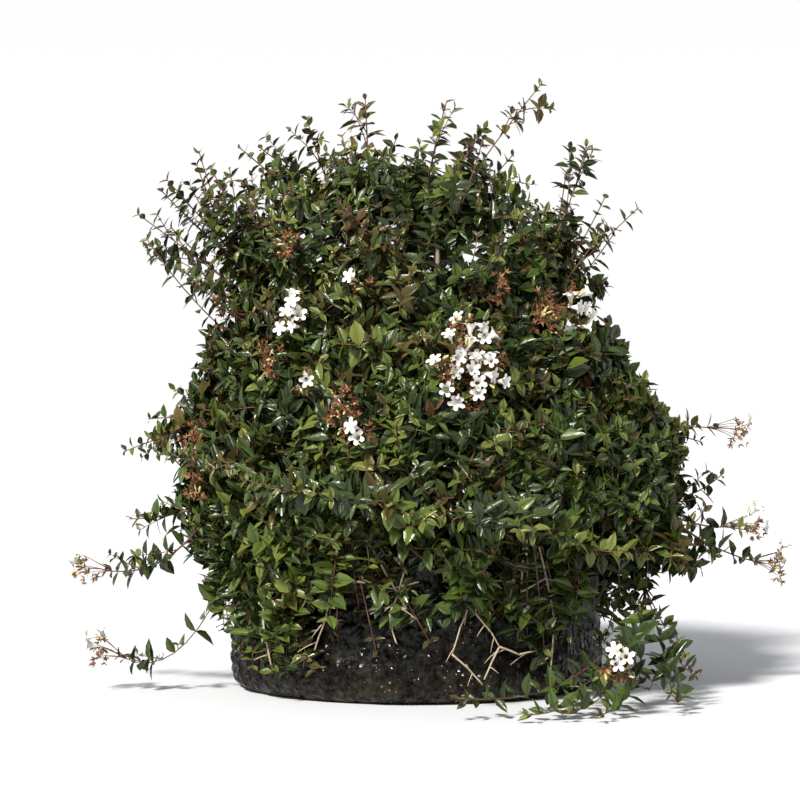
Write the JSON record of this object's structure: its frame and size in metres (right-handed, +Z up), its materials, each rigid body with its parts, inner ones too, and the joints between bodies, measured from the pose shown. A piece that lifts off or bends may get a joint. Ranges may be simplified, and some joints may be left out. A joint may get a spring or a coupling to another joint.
{
  "type": "potted glossy abelia shrub",
  "caption": "Bushy potted glossy abelia in flower: a bell of small glossy leaves with long arching shoots and white blossom over a soft black grow bag.",
  "frame": {"origin": "centre of the grow bag's flat underside", "axes": "+Z up, +X to the right and -Y towards a viewer who sees the side with the large head of blossom"},
  "size_m": [0.8829, 0.8154, 0.7532],
  "materials": {
    "pot": "satin",
    "compost": "matte",
    "wood": "matte",
    "foliage": "satin"
  },
  "bodies": {
    "root": {"pot": "pot", "compost": "compost", "stem": "wood", "bough_skirt_1": "wood", "bough_skirt_2": "wood", "bough_skirt_3": "wood", "bough_skirt_4": "wood", "bough_skirt_5": "wood", "bough_skirt_6": "wood", "bough_skirt_7": "wood", "bough_skirt_8": "wood", "bough_middle_1": "wood", "bough_middle_2": "wood", "bough_middle_3": "wood", "bough_middle_4": "wood", "bough_middle_5": "wood", "bough_middle_6": "wood", "bough_middle_7": "wood", "bough_middle_8": "wood", "bough_upper_1": "wood", "bough_upper_2": "wood", "bough_upper_3": "wood", "bough_upper_4": "wood", "bough_upper_5": "wood", "bough_upper_6": "wood", "bough_top_1": "wood", "bough_top_2": "wood", "bough_top_3": "wood", "bough_top_4": "wood", "foliage_skirt_1": "foliage", "foliage_skirt_2": "foliage", "foliage_skirt_3": "foliage", "foliage_skirt_4": "foliage", "foliage_skirt_5": "foliage", "foliage_skirt_6": "foliage", "foliage_skirt_7": "foliage", "foliage_skirt_8": "foliage", "foliage_middle_1": "foliage", "foliage_middle_2": "foliage", "foliage_middle_3": "foliage", "foliage_middle_4": "foliage", "foliage_middle_5": "foliage", "foliage_middle_6": "foliage", "foliage_middle_7": "foliage", "foliage_middle_8": "foliage", "foliage_upper_1": "foliage", "foliage_upper_2": "foliage", "foliage_upper_3": "foliage", "foliage_upper_4": "foliage", "foliage_upper_5": "foliage", "foliage_upper_6": "foliage", "foliage_top_1": "foliage", "foliage_top_2": "foliage", "foliage_top_3": "foliage", "foliage_top_4": "foliage"}
  },
  "joints": []
}
